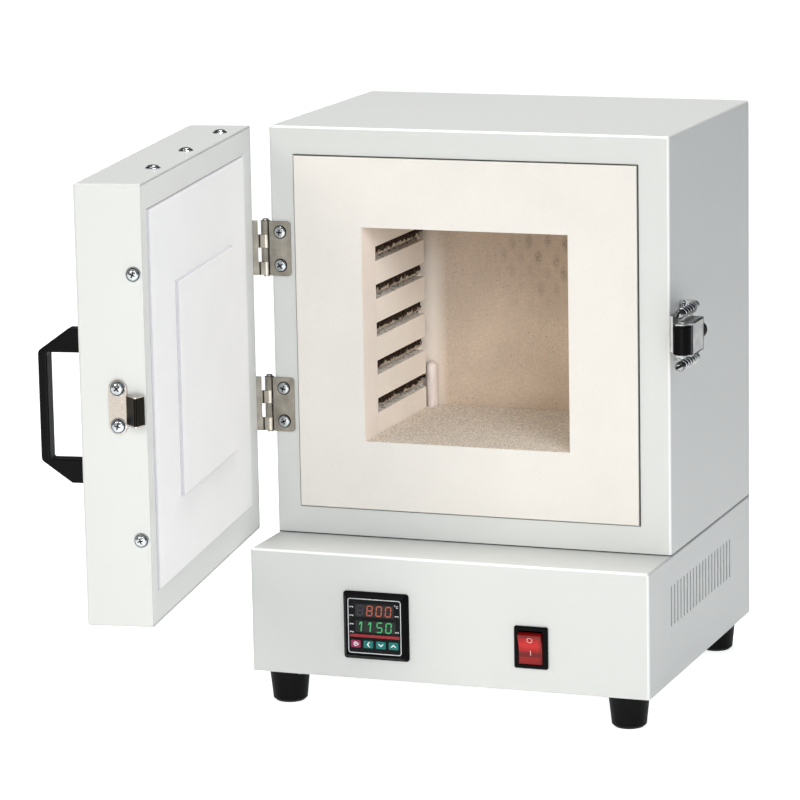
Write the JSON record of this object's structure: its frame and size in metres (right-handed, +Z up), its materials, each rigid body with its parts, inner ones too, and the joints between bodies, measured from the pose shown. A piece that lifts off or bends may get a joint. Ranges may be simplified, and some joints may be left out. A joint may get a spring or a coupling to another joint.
{
  "type": "benchtop wax burnout oven",
  "caption": "Benchtop kiln for burning wax out of casting moulds: insulated chamber with side heating coils, side-hinged door with sprung roller catch, controls in the base.",
  "frame": {"origin": "on the bench, midway between the four rubber feet", "axes": "+X to the right seen from the front, +Y to the back, +Z up"},
  "size_m": [0.3792, 0.5241, 0.4184],
  "materials": {
    "white_powder_coat": "semi-gloss powder coat on folded steel sheet",
    "pan_enamel": "semi-gloss powder coat on folded steel sheet",
    "galvanised_sheet": "plain zinc-coated sheet",
    "zinc_screws": "bright zinc-plated steel",
    "black_rubber": "matt moulded rubber",
    "black_plastic": "fine-textured black moulding",
    "face_film": "printed polyester film over a dark window",
    "relay_plastic": "off-white moulding",
    "key_magenta": "magenta printed key film",
    "key_teal": "teal printed key film",
    "rocker_red": "red translucent moulding",
    "ceramic_board": "vacuum-formed ceramic fibre board",
    "hearth_ceramic": "fired cordierite-like plate",
    "fibre_jacket": "packed ceramic fibre blanket",
    "element_wire": "oxidised resistance wire",
    "white_ceramic": "alumina",
    "hinge_steel": "satin nickel-plated steel",
    "strike_nickel": "satin nickel-plated steel",
    "catch_steel": "zinc-plated pressed steel",
    "spring_steel": "drawn spring wire",
    "black_acetal": "turned black acetal"
  },
  "bodies": {
    "oven": {"base_cabinet": "white_powder_coat", "base_bottom_plate": "galvanised_sheet", "base_rear_panel": "white_powder_coat", "base_screws": "zinc_screws", "power_inlet": "black_plastic", "rubber_feet": "black_rubber", "foot_screws": "zinc_screws", "relay_heatsink": "galvanised_sheet", "solid_state_relay": "relay_plastic", "terminal_strip": "relay_plastic", "controller_bezel": "black_plastic", "controller_faceplate": "face_film", "controller_housing": "black_plastic", "controller_clamp": "black_plastic", "switch_housing": "black_plastic", "body_shell": "white_powder_coat", "body_rear_panel": "white_powder_coat", "body_rear_screws": "zinc_screws", "body_bolts": "zinc_screws", "front_board": "ceramic_board", "heater_panel_left": "ceramic_board", "heater_panel_right": "ceramic_board", "heating_coil_left": "element_wire", "heating_coil_right": "element_wire", "roof_board": "ceramic_board", "floor_board": "ceramic_board", "back_board": "ceramic_board", "hearth_plate": "hearth_ceramic", "insulation_jacket": "fibre_jacket", "element_terminals": "white_ceramic", "thermocouple_sheath": "white_ceramic", "thermocouple_head": "white_ceramic", "hinge_leaves_body": "hinge_steel", "hinge_pins": "hinge_steel", "hinge_screws_body": "zinc_screws", "catch_bracket": "catch_steel", "catch_bracket_screws": "zinc_screws", "catch_bolts": "zinc_screws", "catch_springs": "spring_steel", "catch_adjuster": "black_plastic"},
    "door": {"hinge_leaves_door": "hinge_steel", "hinge_screws_door": "zinc_screws", "door_shell": "white_powder_coat", "door_inner_frame": "pan_enamel", "door_face_board": "ceramic_board", "door_plug": "ceramic_board", "door_insulation": "fibre_jacket", "door_screws": "zinc_screws", "door_handle": "black_plastic", "handle_screws": "zinc_screws", "strike_plate": "strike_nickel", "strike_screws": "zinc_screws"},
    "rocker": {"switch_rocker": "rocker_red"},
    "catch": {"catch_carriage": "catch_steel", "catch_roller_pin": "catch_steel"},
    "roller": {"catch_roller": "black_acetal"},
    "key_set_body": {"key_set": "key_magenta"},
    "key_left_body": {"key_left": "key_teal"},
    "key_down_body": {"key_down": "key_teal"},
    "key_up_body": {"key_up": "key_teal"}
  },
  "joints": [
    {"name": "door_hinge", "type": "hinge", "parent": "oven", "child": "door", "pos_m": [-0.155, -0.0749, 0.269], "axis": [0, 0, 1], "range_deg": [-95, 81.7]},
    {"name": "switch_rock", "type": "hinge", "parent": "oven", "child": "rocker", "pos_m": [0.0633, -0.131, 0.0573], "axis": [1, 0, 0], "range_deg": [-18, 0]},
    {"name": "catch_swing", "type": "hinge", "parent": "oven", "child": "catch", "pos_m": [0.1704, -0.064, 0.276], "axis": [0, 0, 1], "range_deg": [0, 14], "stiffness_Nm_per_rad": 1.6, "springref_deg": -8.59, "deforming": ["catch_springs"]},
    {"name": "roller_spin", "type": "hinge", "parent": "catch", "child": "roller", "pos_m": [0.1643, -0.095, 0.276], "axis": [0, 0, 1], "continuous": true},
    {"name": "key_set_press", "type": "slide", "parent": "oven", "child": "key_set_body", "axis": [0, 1, 0], "range_m": [0, 0.0007], "stiffness_N_per_m": 600, "springref_m": -0.0006},
    {"name": "key_left_press", "type": "slide", "parent": "oven", "child": "key_left_body", "axis": [0, 1, 0], "range_m": [0, 0.0007], "stiffness_N_per_m": 600, "springref_m": -0.0006},
    {"name": "key_down_press", "type": "slide", "parent": "oven", "child": "key_down_body", "axis": [0, 1, 0], "range_m": [0, 0.0007], "stiffness_N_per_m": 600, "springref_m": -0.0006},
    {"name": "key_up_press", "type": "slide", "parent": "oven", "child": "key_up_body", "axis": [0, 1, 0], "range_m": [0, 0.0007], "stiffness_N_per_m": 600, "springref_m": -0.0006}
  ]
}
